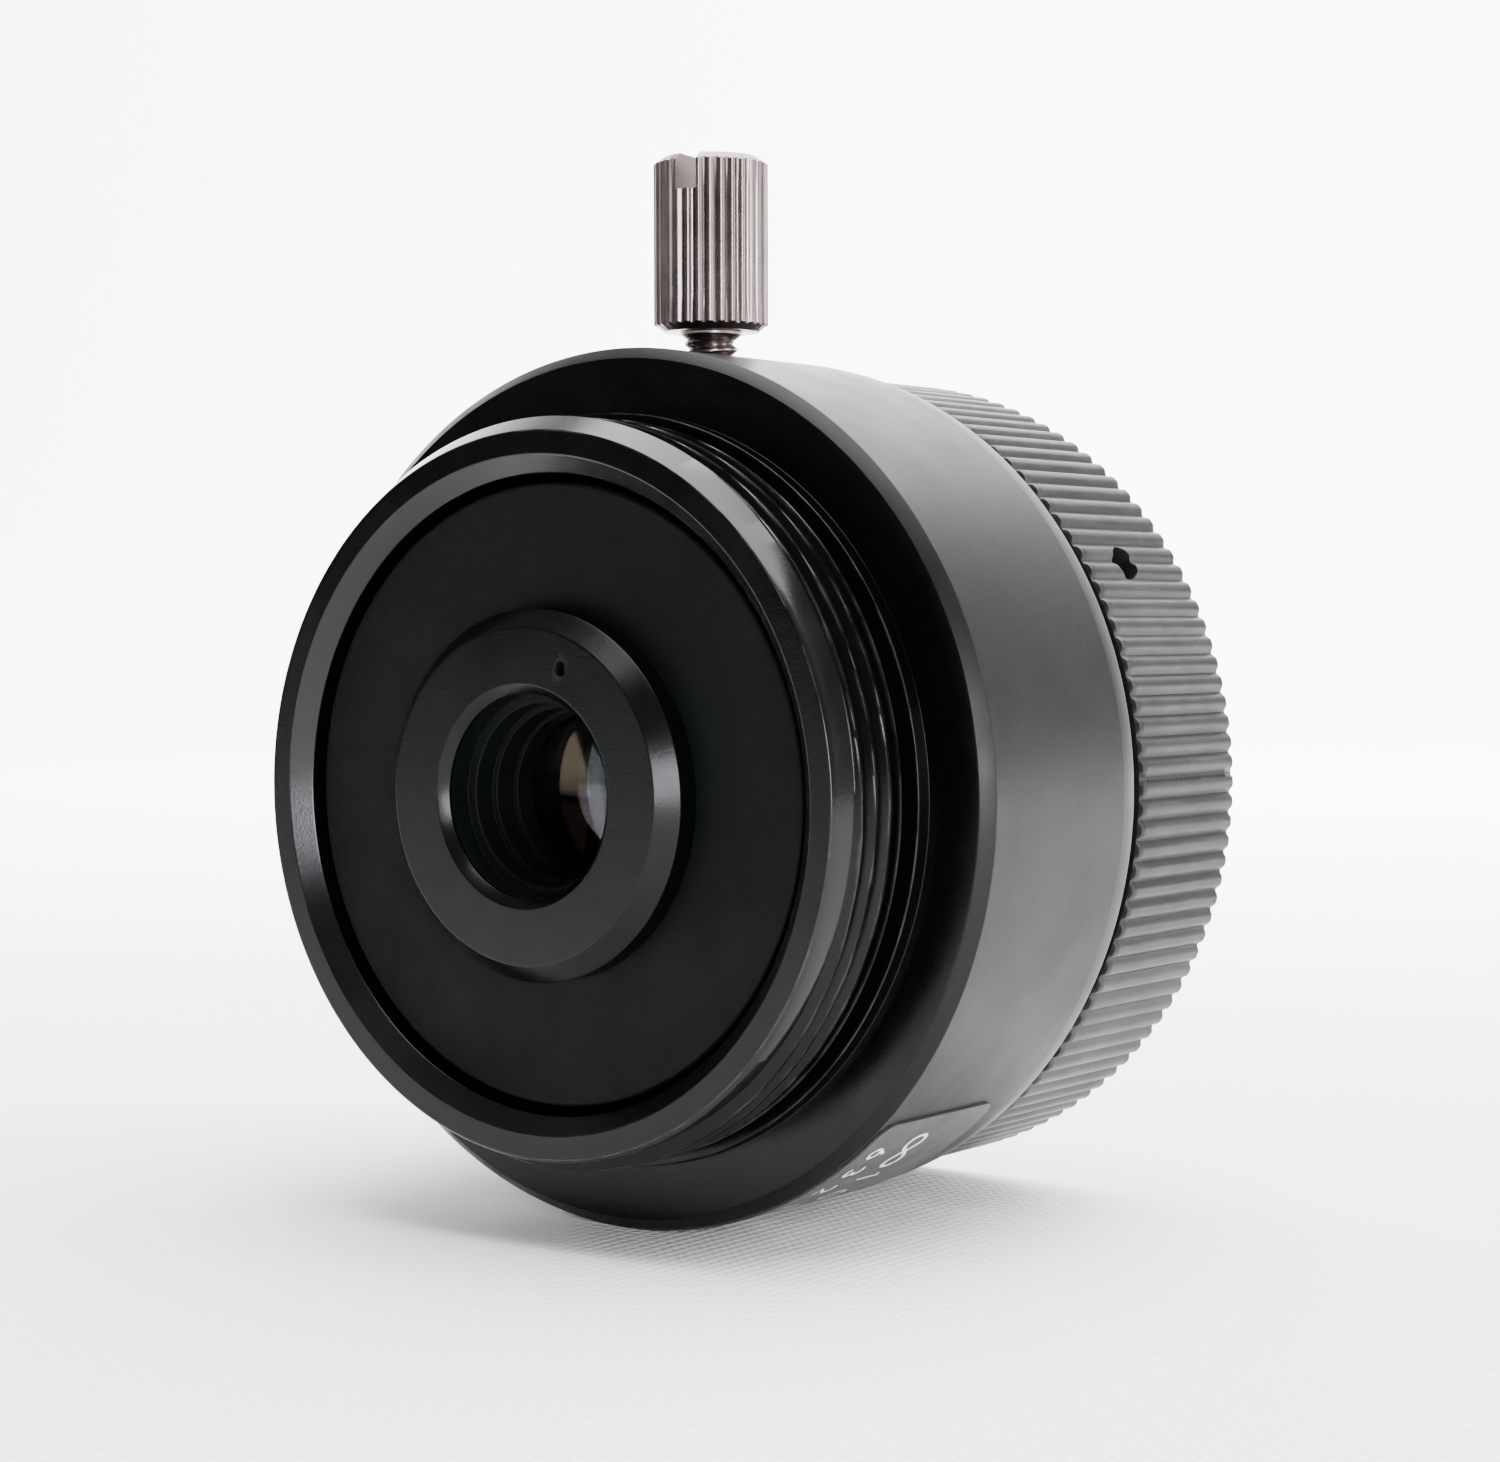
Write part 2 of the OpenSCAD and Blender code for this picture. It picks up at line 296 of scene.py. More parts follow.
def mark_edges(piece, low=8, high=20, reach=0.5 * MM):
    """Stores how sharply each point's convex edges turn, as the attribute that wear follows.
    A point that a long edge starts from is left out, or wear would spread along that edge."""
    bm = bmesh.new()
    bm.from_mesh(piece.data)
    turns = []
    for point in bm.verts:
        near = [e for e in point.link_edges if e.calc_length() < reach]
        sharpest = max([math.degrees(e.calc_face_angle_signed(0)) for e in near] or [0])
        turns.append(sharpest if len(near) == len(point.link_edges) else 0)
    bm.free()
    edge = piece.data.attributes.new("edge", "FLOAT", "POINT")
    edge.data.foreach_set("value", [min(1, max(0, (t - low) / (high - low))) for t in turns])


def dress(piece, material, body, slot, *nodes):
    """Gives a piece its material and its body, and hides the CAD nodes that it stands for. slot is
    not used.
    """
    mark_edges(piece)
    piece.data.materials.clear()
    piece.data.materials.append(material)
    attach(piece, body)
    if nodes:
        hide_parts(*nodes)


def face_radius(face):
    """How far a face's middle stands from the optical axis, in metres."""
    return math.hypot(face.center.x, face.center.z)


# ---------------------------------------------------------------- materials

GRAIN_DEPTH = 0.02 * MM
LINE_DEPTH = 0.01 * MM
CLOTH_DEPTH = 0.08 * MM
FLOOR_COLOUR = (0.90, 0.90, 0.895)


def map_range(tree, value, low, high, to_low, to_high):
    """A Map Range node. Each end is a number or a socket."""
    node = tree.nodes.new("ShaderNodeMapRange")
    tree.links.new(value, node.inputs["Value"])
    ends = zip(("From Min", "From Max", "To Min", "To Max"), (low, high, to_low, to_high))
    for key, end in ends:
        if isinstance(end, (int, float)):
            node.inputs[key].default_value = end
        else:
            tree.links.new(end, node.inputs[key])
    return node.outputs["Result"]


class Nodes:
    """Builds one material's node tree."""

    def __init__(self, name):
        self.material = bpy.data.materials.new(name)
        self.material.use_nodes = True
        self.tree = self.material.node_tree
        self.shader = self.tree.nodes["Principled BSDF"]
        self.point = self.add("ShaderNodeTexCoord").outputs["Object"]

    def add(self, kind, **settings):
        node = self.tree.nodes.new(kind)
        for key, value in settings.items():
            setattr(node, key, value)
        return node

    def link(self, source, target):
        self.tree.links.new(source, target)

    def feed(self, socket, source):
        """Links a source to one of the shader's inputs."""
        self.link(source, self.shader.inputs[socket])

    def set(self, **values):
        """Sets the shader's own constants."""
        for key, value in values.items():
            self.shader.inputs[key.replace("_", " ")].default_value = value

    def stretched(self, scale):
        """Object coordinates, scaled differently along each axis."""
        mapping = self.add("ShaderNodeMapping")
        mapping.inputs["Scale"].default_value = scale
        self.link(self.point, mapping.inputs["Vector"])
        return mapping.outputs["Vector"]

    def noise(self, scale, detail=3.0, vector=None, roughness=0.55):
        node = self.add("ShaderNodeTexNoise")
        node.inputs["Scale"].default_value = scale
        node.inputs["Detail"].default_value = detail
        node.inputs["Roughness"].default_value = roughness
        self.link(vector or self.point, node.inputs["Vector"])
        return node.outputs["Fac"]

    def ramp(self, value, low, high, to_low, to_high):
        return map_range(self.tree, value, low, high, to_low, to_high)

    def mix(self, factor, first, second):
        """Mixes two colours, each a tuple or a socket."""
        node = self.add("ShaderNodeMix", data_type="RGBA")
        self.link(factor, node.inputs[0])
        for socket, value in ((node.inputs[6], first), (node.inputs[7], second)):
            if isinstance(value, tuple):
                socket.default_value = (*value, 1)
            else:
                self.link(value, socket)
        return node.outputs[2]

    def math(self, operation, first, second):
        node = self.add("ShaderNodeMath", operation=operation)
        for socket, value in ((node.inputs[0], first), (node.inputs[1], second)):
            if isinstance(value, (int, float)):
                socket.default_value = value
            else:
                self.link(value, socket)
        return node.outputs[0]

    def bump(self, height, strength, distance=GRAIN_DEPTH, normal=None):
        node = self.add("ShaderNodeBump")
        node.inputs["Strength"].default_value = strength
        node.inputs["Distance"].default_value = distance
        self.link(height, node.inputs["Height"])
        if normal:
            self.link(normal, node.inputs["Normal"])
        return node.outputs["Normal"]

    def worn_edges(self):
        """1 on convex edges, broken up by noise."""
        edge = self.add("ShaderNodeAttribute", attribute_name="edge").outputs["Fac"]
        patches = self.ramp(self.noise(700), 0.42, 0.62, 0, 1)
        return self.math("MULTIPLY", edge, patches)


def anodised(name, colour, wear, roughness, grain, turning, ior):
    """Black anodised aluminium: fine blasted grain, faint turning lines and rubbed edges."""
    look = Nodes(name)
    blotches = look.ramp(look.noise(160, 4), 0.35, 0.7, 0, 1)
    base = look.mix(blotches, colour, tuple(c * 1.15 for c in colour))
    rubbed = look.math("MULTIPLY", look.worn_edges(), wear)
    look.feed("Base Color", look.mix(rubbed, base, (0.10, 0.10, 0.103)))
    patches = look.noise(420, 4)
    look.feed("Roughness", look.ramp(patches, 0.3, 0.7, roughness - 0.04, roughness + 0.05))
    fine = look.bump(look.noise(9000, 2, roughness=0.7), grain)
    lines = look.noise(1.0, 2, look.stretched((40, 9000, 40)))
    look.feed("Normal", look.bump(lines, turning, LINE_DEPTH, fine))
    look.set(Metallic=0.0, IOR=ior)
    return look.material


def matte_black():
    """Dull black anodising with a faint green cast, seen inside the nose."""
    look = Nodes("matte_black")
    tint = look.ramp(look.noise(220, 3), 0.35, 0.68, 0, 1)
    look.feed("Base Color", look.mix(tint, (0.0007, 0.0017, 0.0013), (0.0010, 0.0022, 0.0017)))
    look.feed("Roughness", look.ramp(look.noise(500, 3), 0.3, 0.7, 0.52, 0.66))
    fine = look.bump(look.noise(7000, 2, roughness=0.7), 0.35)
    lines = look.noise(1.0, 2, look.stretched((60, 9000, 60)))
    look.feed("Normal", look.bump(lines, 0.12, LINE_DEPTH, fine))
    look.set(IOR=1.18)
    return look.material


def nickel():
    """Bright nickel plate with a slight warm tone and fine draw lines."""
    look = Nodes("nickel")
    stain = look.ramp(look.noise(400, 2), 0.4, 0.7, 0, 1)
    look.feed("Base Color", look.mix(stain, (0.20, 0.163, 0.159), (0.135, 0.108, 0.105)))
    look.feed("Roughness", look.ramp(look.noise(600, 2), 0.3, 0.7, 0.24, 0.32))
    look.feed("Normal", look.bump(look.noise(1.0, 1, look.stretched((5000, 5000, 300))), 0.08))
    look.set(Metallic=1.0)
    return look.material


def black_steel():
    """Oil-black steel for the grub screws."""
    look = Nodes("black_steel")
    look.feed("Base Color", look.mix(look.noise(900), (0.05, 0.05, 0.052), (0.09, 0.088, 0.085)))
    look.feed("Roughness", look.ramp(look.noise(1500), 0.3, 0.7, 0.3, 0.45))
    look.feed("Normal", look.bump(look.noise(4000), 0.2))
    look.set(Metallic=0.9)
    return look.material


def nylon():
    """Milky moulded nylon."""
    look = Nodes("nylon")
    look.feed("Base Color", look.mix(look.noise(600), (0.72, 0.69, 0.60), (0.82, 0.79, 0.70)))
    look.feed("Roughness", look.ramp(look.noise(800), 0.3, 0.7, 0.38, 0.5))
    look.feed("Normal", look.bump(look.noise(3000), 0.2))
    return look.material


def coated_glass(name, film, tint=(0.97, 0.985, 0.975)):
    """Optical glass with a thin anti-reflection film, its thickness in nm, and a trace of dust. A
    dark tint, as the inner glasses get, is painted shade.
    """
    look = Nodes(name)
    dust = look.ramp(look.noise(2600, 2), 0.72, 0.80, 0.0, 0.12)
    look.feed("Roughness", look.math("ADD", dust, 0.015))
    look.feed("Base Color", look.mix(look.noise(300), tint, tuple(c * 0.99 for c in tint)))
    look.set(IOR=1.52, Transmission_Weight=1.0, Thin_Film_Thickness=film, Thin_Film_IOR=1.38)
    return look.material


def label_black():
    """Black printed film with a slight sheen."""
    look = Nodes("label_black")
    tint = look.ramp(look.noise(400, 3), 0.35, 0.68, 0, 1)
    look.feed("Base Color", look.mix(tint, (0.014, 0.0155, 0.0145), (0.018, 0.0195, 0.018)))
    look.feed("Roughness", look.ramp(look.noise(700, 3), 0.3, 0.7, 0.34, 0.44))
    look.feed("Normal", look.bump(look.noise(4000, 2), 0.2))
    look.set(IOR=1.52)
    return look.material


def print_white():
    """Slightly uneven white marking paint."""
    look = Nodes("print_white")
    look.feed("Base Color", look.mix(look.noise(2500, 4), (0.62, 0.62, 0.60), (0.80, 0.80, 0.78)))
    look.feed("Roughness", look.ramp(look.noise(1800), 0.3, 0.7, 0.5, 0.65))
    look.feed("Normal", look.bump(look.noise(5000), 0.25))
    return look.material


def woven_white():
    """Plain pale cloth for the floor, with a fine woven grain."""
    look = Nodes("floor_white")
    darker = tuple(c * 0.985 for c in FLOOR_COLOUR)
    look.feed("Base Color", look.mix(look.noise(40), FLOOR_COLOUR, darker))
    threads = []
    for direction in ("X", "Y"):
        wave = look.add("ShaderNodeTexWave", bands_direction=direction)
        wave.inputs["Scale"].default_value = 700
        look.link(look.point, wave.inputs["Vector"])
        threads.append(wave.outputs["Fac"])
    look.feed("Normal", look.bump(look.math("MULTIPLY", *threads), 0.5, CLOTH_DEPTH))
    look.set(Roughness=0.9)
    return look.material


SATIN_BLACK = anodised("satin_black", (0.0016, 0.0018, 0.00175), 0.30, 0.38, 0.22, 0.05, 1.26)
# Copy of the tube's anodising for the nose and flange face: glossier, and its darker base colour is
# painted shade.
NOSE_SHADED_BLACK = anodised("nose_painted_shade", (0.0005, 0.0009, 0.0007), 0.15, 0.20, 0.15, 0.05, 1.24)
RIM_BLACK = anodised("rim_black", (0.0008, 0.0009, 0.0011), 0.30, 0.20, 0.15, 0.05, 1.34)
RING_BLACK = anodised("ring_black", (0.0045, 0.0046, 0.0047), 0.12, 0.42, 0.30, 0.05, 1.32)
COLLAR_BLACK = anodised("collar_black", (0.0006, 0.0011, 0.0009), 0.1, 0.22, 0.15, 0.03, 1.24)
MATTE_BLACK = matte_black()
NICKEL = nickel()
BLACK_STEEL = black_steel()
NYLON = nylon()
FRONT_GLASS = coated_glass("front_glass", 205)
# The inner glasses' dark grey tint is painted shade: it dims the view into the lens, where little
# light from the front reaches.
INNER_GLASS_SHADED = coated_glass("inner_glass_painted_shade", 0, (0.42, 0.43, 0.44))
REAR_GLASS = coated_glass("rear_glass", 110, (0.92, 0.94, 0.94))
PRINT_WHITE = print_white()
LABEL_BLACK = label_black()


# ---------------------------------------------------------------- barrel

def barrel_radius(r, y, turn):
    """The nose thread: a right-hand helix between its two run-outs."""
    if r < THREAD_R - 0.01 or not THREAD_START - 0.01 < y < THREAD_END + THREAD_RUN_OUT:
        return r
    fade = min(1, (THREAD_END + THREAD_RUN_OUT - y) / 0.12, (y - THREAD_START + 0.1) / 0.12)
    return r - THREAD_DEPTH * fade * groove((y - THREAD_START) / THREAD_PITCH - turn)


def make_barrel():
    """Nose, thread, relief groove, flange and outer tube, as one turned body."""
    steps = 72
    thread_len = THREAD_END + 0.04 - THREAD_START
    thread = [(THREAD_R, THREAD_START + thread_len * i / steps) for i in range(steps + 1)]
    nose = [
        (NOSE_BORE_R, HELICOID_BORE_Y, 0.05),
        (NOSE_BORE_R, NOSE_END + NOSE_BORE_BEVEL, 0.06),
        (NOSE_BORE_R + NOSE_BORE_BEVEL, NOSE_END, 0.06),
        (RIM_R, NOSE_END, 0.08),
    ]
    body = [
        (RELIEF_R, THREAD_END + 0.36, 0.05),
        (RELIEF_R, -BOSS_LEN, 0.05),
        (BOSS_R, -BOSS_LEN, 0.05),
        (BOSS_R, 0, 0.03),
        (BARREL_R - BARREL_BEVEL, 0, 0.06),
        (BARREL_R, BARREL_BEVEL, 0.06),
        (BARREL_R, BARREL_END - BARREL_TAPER, 0.1),
        (BARREL_R - 0.05, BARREL_END, 0.2),
        (HELICOID_BORE_R + 0.3, BARREL_END, 0.1),
        (HELICOID_BORE_R, BARREL_END - 0.3, 0.05),
        (HELICOID_BORE_R, HELICOID_BORE_Y, 0.05),
    ]
    barrel = lathe("barrel_body", rounded(nose + thread + body), 448, barrel_radius)
    carve(barrel, [radial_cutter(0, LOCK_Y, 11, 17, TAP_R)])
    dress(barrel, SATIN_BLACK, "barrel", "anodised", "barrel")
    shade_nose(barrel)


def shade_nose(barrel):
    """The nose and flange face are glossier than the tube, and the nose's chamfers more so. The
    nose and flange face also get a darker copy of the tube's anodising, which is painted shade.
    """
    barrel.data.materials.append(NOSE_SHADED_BLACK)
    barrel.data.materials.append(RIM_BLACK)
    flange_y = 0.02 * MM
    chamfer_y = (NOSE_END + 0.6) * MM
    margin = 0.04
    end_face = ((NOSE_BORE_R + NOSE_BORE_BEVEL + margin) * MM, (RIM_R - margin) * MM)
    # The nose's end face and the flange face get the darker copy, which is painted shade; the
    # chamfers get the glossier rim copy.
    for face in barrel.data.polygons:
        if face.center.y < chamfer_y and not end_face[0] < face_radius(face) < end_face[1]:
            face.material_index = 2
        elif face.center.y < flange_y:
            face.material_index = 1


# ---------------------------------------------------------------- scale label

LABEL_TURN = 134.5
LABEL_SWEEP = 91
LABEL_R = -LABEL_LOW.z


def label_film(corner=0.7, steps=90):
    """The film itself: a thin curved sheet with rounded corners, its columns closest together
    at the ends."""
    bm = bmesh.new()
    columns = []
    reach = math.radians(LABEL_SWEEP) * LABEL_R
    for i in range(steps + 1):
        along = reach * (0.5 - 0.5 * math.cos(math.pi * i / steps))
        end = min(along, reach - along)
        inset = corner - math.sqrt(max(0, corner ** 2 - max(0, corner - end) ** 2))
        turn = LABEL_TURN + math.degrees(along / LABEL_R)
        ends = (LABEL_LOW.y + inset, LABEL_HIGH.y - inset)
        columns.append([bm.verts.new(radial(turn, y, r))
                        for y in ends for r in (BARREL_R, LABEL_R)])
    for here, there in zip(columns, columns[1:]):
        for i, j in ((0, 1), (1, 3), (3, 2), (2, 0)):
            bm.faces.new((here[i], here[j], there[j], there[i]))
    for column in (columns[0], columns[-1]):
        bm.faces.new((column[0], column[1], column[3], column[2]))
    return finish_mesh(bm, "label_film", 30)


def arc(centre, size, start, end, steps=16):
    """Points of a part of an ellipse, in the label's flat (along, y) plane; angles in degrees."""
    turns = [math.radians(start + (end - start) * i / steps) for i in range(steps + 1)]
    return [(centre[0] + size[0] * math.cos(a), centre[1] + size[1] * math.sin(a)) for a in turns]


def infinity(size, steps=48):
    """A lying figure of eight, as one closed stroke."""
    loop = []
    for i in range(steps + 1):
        a = TAU * i / steps
        loop.append((size * math.cos(a) / (1 + math.sin(a) ** 2),
                     1.25 * size * math.sin(a) * math.cos(a) / (1 + math.sin(a) ** 2)))
    return loop


DIGITS = {
    "1": [[(-0.2, 0.3), (0, 0.5), (0, -0.5)]],
    "2": [arc((0, 0.22), (0.28, 0.28), 160, -35, 12) + [(-0.28, -0.5), (0.3, -0.5)]],
    "3": [arc((0, 0.25), (0.27, 0.25), 150, -90, 12) + arc((0, -0.24), (0.3, 0.26), 90, -150, 12)],
    "5": [[(0.26, 0.5), (-0.2, 0.5), (-0.25, 0.06)] + arc((0, -0.18), (0.3, 0.32), 130, -140, 14)],
    "6": [[(0.16, 0.5), (-0.22, 0.02)] + arc((0, -0.2), (0.29, 0.3), 140, 500, 20)],
    "0": [arc((0, 0), (0.3, 0.5), 0, 360, 24)],
    ".": [arc((0, -0.46), (0.04, 0.04), 0, 360, 8)],
}


def ribbon(bm, stroke, width, lift=0.012):
    """A flat printed line along a stroke given in (along, y), wrapped on the label."""
    points = [Vector(p) for p in stroke]
    rows = []
    for i, here in enumerate(points):
        ahead = points[min(i + 1, len(points) - 1)] - points[max(i - 1, 0)]
        if points[0] == points[-1] and i in (0, len(points) - 1):
            ahead = points[1] - points[-2]
        side = Vector((-ahead.y, ahead.x)).normalized() * width / 2
        edges = (here + side, here - side)
        rows.append([bm.verts.new(radial(LABEL_TURN + math.degrees(p.x / LABEL_R), p.y,
                                         LABEL_R + lift)) for p in edges])
    for a, b in zip(rows, rows[1:]):
        bm.faces.new((a[0], a[1], b[1], b[0]))


def make_label():
    """Film with a plain distance scale: infinity, round distances and a small row of figures."""
    film = label_film()
    dress(film, LABEL_BLACK, "barrel", "label", "scale_label")
    bm = bmesh.new()
    upper, lower = 3.9, LABEL_LOW.y + 1.25
    ribbon(bm, [(2.1 + x, upper + y) for x, y in infinity(1.0)], 0.17)
    rows = [(upper, 1.25, ((3.95, "1"), (6.6, "0.5"), (10.2, "0.3"), (14.0, "0.2"))),
            (lower, 0.9, ((1.7, "6"), (2.9, "3"), (4.3, "2"), (5.9, "1")))]
    for across, height, marks in rows:
        for place, mark in marks:
            for k, letter in enumerate(mark):
                start = place + 0.8 * height * (k - (len(mark) - 1) / 2)
                for stroke in DIGITS[letter]:
                    ribbon(bm, [(start + height * x, across + height * y) for x, y in stroke], 0.14)
    dress(finish_mesh(bm, "label_marks", 60), PRINT_WHITE, "barrel", "label")


# ---------------------------------------------------------------- focus ring

def ring_radius(r, y, turn):
    """Straight knurl, cut a little shallower where two passes of the tool meet."""
    if r < RING_R - 0.15:
        return r
    depth = RING_GROOVE * soft_groove(turn * RING_TEETH)
    seam = abs(turn * 360 - SEAM_TURN)
    if seam < SEAM_HALF and round((y - RING_START) / RING_BAND) % 2:
        depth = 0.3 * depth
    return r - depth


def make_ring():
    """Knurled focus ring with its three radial screw holes."""
    low, high = RING_START, RING_END
    count = int((high - low - 0.4) / RING_BAND)
    bands = [(RING_R, low + RING_BAND * (i + 1)) for i in range(count)]
    outline = rounded(
        [(RING_BORE_R, low, 0.08), (RING_R - 0.20, low, 0.04), (RING_R - 0.05, low + 0.05)]
        + bands
        + [(RING_R, high - 0.16), (RING_R - 0.13, high - 0.02), (RING_R - 0.25, high, 0.01),
           (RING_BORE_R + RING_BORE_BEVEL, high, 0.06),
           (RING_BORE_R, high - RING_BORE_BEVEL, 0.05)])
    ring = lathe("focus_grip", outline, RING_TEETH * 8, ring_radius)
    carve(ring, [radial_cutter(t, SET_SCREW_Y, 12.6, 16, SET_HOLE_R) for t in SET_SCREW_TURNS])
    dress(ring, RING_BLACK, "focus", "anodised", "focus_ring")


# ---------------------------------------------------------------- lens cell and its rings

def make_cell():
    """The inner tube: rear disc, neck, focus thread and front seat."""
    disc, disc_end = CELL_LOW.y, CELL_LOW.y + DISC_LEN
    end = CELL_HIGH.y
    lens_bore_r = FRONT_LENS_R + GLASS_FIT
    group_bore_r = FRONT_GROUP_R + GLASS_FIT
    rear_bore_r = REAR_GROUP_R + GLASS_FIT
    outline = rounded([
        (COLLAR_BORE_R, disc, 0.03), (DISC_R, disc, 0.12), (DISC_R, disc_end, 0.08),
        (CELL_NECK_R, disc_end, 0.1), (CELL_NECK_R, HELICOID_Y, 0.1),
        (HELICOID_R, HELICOID_Y, 0.1), (HELICOID_R, SEAT_Y, 0.05),
        (SEAT_R, SEAT_Y, 0.08), (SEAT_R, end, 0.06),
        (FRONT_BORE_R, end, 0.06), (FRONT_BORE_R, FRONT_LENS_END, 0.03),
        (lens_bore_r, FRONT_LENS_END, 0.03), (lens_bore_r, FRONT_LENS_Y, 0.03),
        (group_bore_r, FRONT_LENS_Y, 0.05), (group_bore_r, STOP_Y, 0.03),
        (rear_bore_r, STOP_Y, 0.05), (rear_bore_r, REAR_LENS_Y, 0.03),
        (COLLAR_BORE_R, REAR_LENS_Y, 0.02)])
    dress(lathe("cell_body", outline, 360), MATTE_BLACK, "focus", "matte_black", "lens_cell")


def make_collar():
    """Rear collar with its bevelled, stepped hole and single dimple. The steps are dull."""
    face = COLLAR_LOW.y
    outline = rounded([
        (RETAINER_BORE_R, REAR_LENS_Y), (RETAINER_BORE_R, INNER_STEP_Y, 0.04),
        (INNER_STEP_R, INNER_STEP_Y, 0.02), (INNER_STEP_R, OUTER_STEP_Y, 0.05),
        (OUTER_STEP_R, OUTER_STEP_Y, 0.03), (OUTER_STEP_R, HOLE_FLOOR_Y, 0.06),
        (COLLAR_HOLE_R, HOLE_FLOOR_Y, 0.03), (COLLAR_HOLE_R, face + 0.3, 0.04),
        (COLLAR_HOLE_R + 0.3, face, 0.04), (COLLAR_R - COLLAR_BEVEL, face, 0.05),
        (COLLAR_R, face + COLLAR_BEVEL, 0.05), (COLLAR_R, CELL_LOW.y, 0.03),
        (RETAINER_THREAD_R, CELL_LOW.y), (RETAINER_THREAD_R, REAR_LENS_Y, 0.05)])
    collar = lathe("collar_body", outline, 320)
    dimple = radial(DIMPLE_TURN, face, DIMPLE_PLACE_R)
    carve(collar, [cylinder_cutter(dimple, (0, 1, 0), DIMPLE_R, 0.5, 32)])
    dress(collar, COLLAR_BLACK, "focus", "matte_black", "rear_retainer")
    collar.data.materials.append(MATTE_BLACK)
    for side in collar.data.polygons:
        inside = face_radius(side) < (COLLAR_HOLE_R + 0.15) * MM
        if inside and side.center.y > (face + 0.4) * MM:
            side.material_index = 1


def make_front_rings():
    """Threaded retainer with two spanner slots, and the trim ring in front of it."""
    outside = FRONT_BORE_R - GLASS_FIT
    lip_r, mouth_r, slot_r = 9.15, 9.9, 10.9
    retainer = lathe("front_retainer_body", rounded([
        (lip_r, FRONT_LENS_END, 0.03), (outside, FRONT_LENS_END, 0.04),
        (outside, NAME_RING_Y, 0.05), (mouth_r, NAME_RING_Y, 0.06)]), 320)
    carve(retainer, [box_cutter((0, NAME_RING_Y, side * slot_r), (1, 1.2, 3)) for side in (-1, 1)])
    dress(retainer, MATTE_BLACK, "focus", "matte_black", "front_retainer")
    front = CELL_HIGH.y - 0.1
    bore_r, bevel_r, face_r = 9.95, 10.5, 11
    trim = lathe("trim_ring", rounded([
        (bore_r, NAME_RING_Y, 0.03), (outside, NAME_RING_Y, 0.04), (outside, front, 0.06),
        (face_r, front, 0.06), (bevel_r, front - 0.3, 0.05)]), 320)
    dress(trim, MATTE_BLACK, "focus", "matte_black", "name_ring")


# ---------------------------------------------------------------- glass, spacers and stop

def cap(y, sphere_r, clear_r, side, steps=14):
    """Points of a spherical face from its rim to the axis. side is +1 where the middle stands
    towards +Y of the rim."""
    drop = sphere_r - math.sqrt(sphere_r ** 2 - clear_r ** 2)
    points = []
    for i in range(steps + 1):
        r = clear_r * (1 - i / steps)
        rise = drop - (sphere_r - math.sqrt(sphere_r ** 2 - r ** 2))
        points.append((r, y + side * rise))
    return points


def make_glass(name, material, node, r, low, high, back, front):
    """One glass of radius r from low to high at its edge. back and front are
    (sphere radius, clear radius, side), or None for a flat face."""
    rear_face = cap(low, *back) if back else [(0, low)]
    front_face = cap(high, *front) if front else [(0, high)]
    bevel = 0.08
    edge = [(r - bevel, low), (r, low + bevel), (r, high - bevel), (r - bevel, high)]
    outline = [Vector(p) for p in rear_face[::-1] + edge + front_face]
    dress(lathe(name, outline, 192, sharp=22), material, "optics", "glass", node)


def make_optics():
    """All six glasses, their spacers, the film mask and the fixed stop. Places run along the
    optical axis, from low to high."""
    for name, material, node, r, low, high, back, front in (
            ("front_element", FRONT_GLASS, "front_lens", FRONT_LENS_R, FRONT_LENS_Y,
             FRONT_LENS_END, (9, 7, 1), (22, 9, 1)),
            ("second_element", INNER_GLASS_SHADED, "second_lens", FRONT_GROUP_R, 9.2, 11.0,
             (8.5, 5.4, 1), (30, 6.6, 1)),
            ("third_element", INNER_GLASS_SHADED, "third_lens", FRONT_GROUP_R, 7.05, 8.0,
             (22, 6, -1), (16, 6, 1)),
            ("crown_element", INNER_GLASS_SHADED, "crown_lens", REAR_GROUP_R, 3.5, 4.2,
             (9, 4.9, -1), (14, 4.4, 1)),
            ("flint_element", INNER_GLASS_SHADED, "flint_lens", REAR_GROUP_R, 1.3, 3.5,
             None, (9, 4.9, -1)),
            ("rear_element", REAR_GLASS, "rear_lens", REAR_GROUP_R, REAR_LENS_Y, 0.3,
             (10, 2.7, -1), (30, 4.2, 1))):
        make_glass(name, material, node, r, low, high, back, front)
    ridge, ridges = 0.03, 6
    for name, node, r_out, r_in, low, high in (
            ("front_spacer_tube", "front_spacer", FRONT_GROUP_R, 6.1, 8.0, 9.2),
            ("middle_spacer_tube", "middle_spacer", FRONT_GROUP_R, 6.2, 5.6, 7.05),
            ("rear_spacer_tube", "rear_spacer", REAR_GROUP_R, 4.6, 0.4, 1.3),
            ("stop_plate", "aperture_stop", FRONT_GROUP_R, 2.6, STOP_Y, 5.6)):
        inside = [(r_in + ridge * (i % 2), high + (low - high) * (i + 0.5) / ridges)
                  for i in range(ridges)]
        outline = [(r_in, low), (r_out, low, 0.02), (r_out, high, 0.02), (r_in, high)] + inside
        tube = lathe(name, rounded(outline), 192)
        dress(tube, MATTE_BLACK, "optics", "matte_black", node)
    mask = lathe("film_mask", rounded([(4.3, 0.3), (REAR_GROUP_R, 0.3, 0.02),
                                       (REAR_GROUP_R, 0.4, 0.02), (4.3, 0.4)]), 192)
    dress(mask, MATTE_BLACK, "optics", "mask_film", "light_mask")


# ---------------------------------------------------------------- lock screw

def head_radius(r, z, turn):
    """Straight knurl on the head, and the M2 thread on the shank under it."""
    if r > HEAD_R - 0.05:
        return r - HEAD_GROOVE * soft_groove(turn * HEAD_TEETH, 0.15)
    if abs(r - SHANK_R) < 0.01:
        return r - SHANK_GROOVE * soft_groove(z / SHANK_PITCH + turn, 0.1)
    return r


